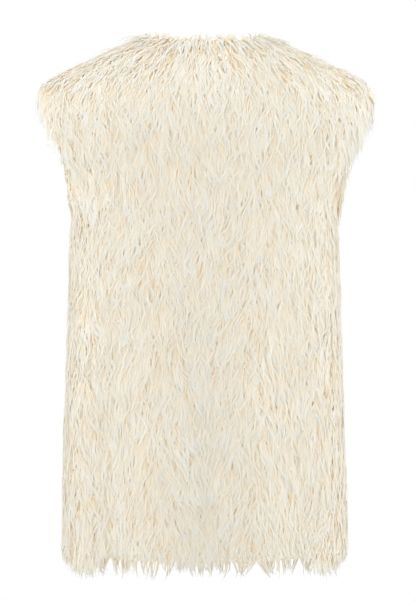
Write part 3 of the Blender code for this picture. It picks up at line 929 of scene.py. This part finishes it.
def armhole_fringe(hole, draw):
    """Locks rooted across the rim of an armhole, which come over its edge and hang down."""

    def on_armhole(spots):
        return (spots[:, 0] * hole.sign > ARMHOLE_NEAREST) & (spots[:, 2] > ARMHOLE_LOWEST)

    places, ways, away, along = edge_roots(["back", hole.front], on_armhole, ARMHOLE_LOCKS_PER_METRE, draw)
    count = len(places)
    start, out = across_rim(places, ways, away, draw)
    tip = share_between(places[:, 2:], ARMHOLE_LOWEST, ARMHOLE_TIP) ** 2
    lengths = column(ARMHOLE_FALL, count, draw) * hole.fullness * (1 - tip)
    lengths += column((ARMHOLE_TIP_SHORTEST, hole.longest), count, draw) * tip
    fall = np.array((hole.lean, 0.0, -1.0)) * lengths
    rise = column(ARMHOLE_RISE, count, draw) * hole.fullness
    rise = away * (rise + column((0.0, hole.reach), count, draw) * tip)
    sway = along * draw.normal(0, ARMHOLE_SWAY, (count, 1))
    legs = mixed(ARMHOLE_LEGS, rise, out, fall, sway)
    name = "armhole_fringe_" + hole.side
    return add_fringe(name, start, ways, along, legs, draw, ARMHOLE_WIDTHS, ARMHOLE_TINTS)


FRINGED_PANELS = {"back": "back", "left": "front_left", "right": "front_right"}
for side, node in FRINGED_PANELS.items():
    piles[node].append(hem_fringe("hem_fringe_" + side, node, draw))
    piles[node].append(neck_fringe("neck_fringe_" + side, node, draw))
for hole in ARMHOLES:
    piles["back"].append(armhole_fringe(hole, draw))


# Studio
# A round white floor under the vest in an even white surround, with large softboxes all round and overhead.
FLOOR_HEIGHT = -0.86
FLOOR_RADIUS = 0.80
FLOOR_THICKNESS = 0.02
FLOOR_ROUNDING = 0.006
FLOOR_SIDES = 96
FLOOR_ROUGHNESS = 0.8
FLOOR_MOTTLES_PER_METRE = 9.0
FLOOR_STOPS = [(0.3, (0.90, 0.90, 0.89, 1.0)), (0.7, (0.93, 0.93, 0.92, 1.0))]
SURROUND = 0.06
SWEEP = 0.83
SWEEP_EDGE = (0.1, -0.2)
LIGHT_BOUNCES = 12
SOFTBOX_SIZE = 1.8
PHOTO_HEIGHT = 601
PIXEL = 0.001345
LENS = 135.0
SENSOR = 36.0
LOOK_AT = Vector((0.0047, 0.0, -0.344))


def white_finish():
    """Matt white paint with a faint mottle."""
    paint = Finish("white_floor_paint")
    place = paint.add("ShaderNodeTexCoord", {}, {}, "Object")
    spread = {"Vector": place, "Scale": FLOOR_MOTTLES_PER_METRE, "Detail": 4.0}
    mottle = paint.add("ShaderNodeTexNoise", {}, spread, "Fac")
    colour = paint.add("ShaderNodeValToRGB", {"stops": FLOOR_STOPS}, {"Fac": mottle}, "Color")
    paint.fill(paint.shader, {"Base Color": colour, "Roughness": FLOOR_ROUGHNESS})
    return paint.material


bpy.ops.mesh.primitive_cylinder_add(
    vertices=FLOOR_SIDES,
    radius=FLOOR_RADIUS,
    depth=FLOOR_THICKNESS,
    location=(0, 0, FLOOR_HEIGHT - FLOOR_THICKNESS / 2),
)
floor = bpy.context.active_object
floor.name = "floor"
bpy.ops.object.transform_apply(location=True, rotation=True, scale=True)
finish_modifier(floor, "BEVEL", width=FLOOR_ROUNDING, segments=3, limit_method="ANGLE")
floor.data.shade_smooth()
floor.data.materials.append(white_finish())


def white_surround():
    """An even white world to the eye. As a light it is a dim room over a bright white sweep."""
    world = bpy.data.worlds.new("white_surround")
    world.use_nodes = True
    nodes, links = world.node_tree.nodes, world.node_tree.links
    place = nodes.new("ShaderNodeTexCoord")
    height = nodes.new("ShaderNodeSeparateXYZ")
    links.new(place.outputs["Generated"], height.inputs["Vector"])
    light = nodes.new("ShaderNodeMapRange")
    links.new(height.outputs["Z"], light.inputs["Value"])
    light.inputs["From Min"].default_value, light.inputs["From Max"].default_value = SWEEP_EDGE
    light.inputs["To Min"].default_value = SURROUND
    light.inputs["To Max"].default_value = SWEEP
    seen = nodes.new("ShaderNodeLightPath")
    strength = nodes.new("ShaderNodeMapRange")
    links.new(seen.outputs["Is Camera Ray"], strength.inputs["Value"])
    links.new(light.outputs["Result"], strength.inputs["To Min"])
    strength.inputs["To Max"].default_value = 1.0
    links.new(strength.outputs["Result"], nodes["Background"].inputs["Strength"])
    nodes["Background"].inputs["Color"].default_value = (1.0, 1.0, 1.0, 1.0)
    return world


bpy.context.scene.world = white_surround()
bpy.context.scene.view_settings.view_transform = "Standard"
bpy.context.scene.cycles.diffuse_bounces = LIGHT_BOUNCES


def add_softbox(name, place, power):
    """A square area light that faces the middle of the vest."""
    light = bpy.data.lights.new(name, "AREA")
    light.size = SOFTBOX_SIZE
    light.energy = power
    lamp = bpy.data.objects.new(name, light)
    lamp.location = place
    lamp.rotation_euler = (LOOK_AT - Vector(place)).to_track_quat("-Z", "Y").to_euler()
    bpy.context.scene.collection.objects.link(lamp)


# each softbox has its place from the middle of the vest, in metres, and its power in watts
SOFTBOXES = {
    "behind": ((-0.156, -2.6, 0.2), 31.0),
    "left": ((-2.6, 0.0, 0.2), 29.5),
    "right": ((2.6, 0.0, 0.2), 35.0),
    "front": ((0.156, 2.6, 0.2), 31.0),
    "top": ((0.0, -0.3, 2.6), 43.0),
}
for name, (place, power) in SOFTBOXES.items():
    add_softbox("softbox_" + name, Vector(place) + Vector((0, 0, LOOK_AT.z)), power)

camera_data = bpy.data.cameras.new("camera")
camera_data.lens = LENS
camera_data.sensor_width = SENSOR
camera = bpy.data.objects.new("camera", camera_data)
distance = PHOTO_HEIGHT * PIXEL * LENS / SENSOR
camera.location = LOOK_AT - Vector((0, distance, 0))
camera.rotation_euler = (math.pi / 2, 0, 0)
bpy.context.scene.collection.objects.link(camera)
bpy.context.scene.camera = camera
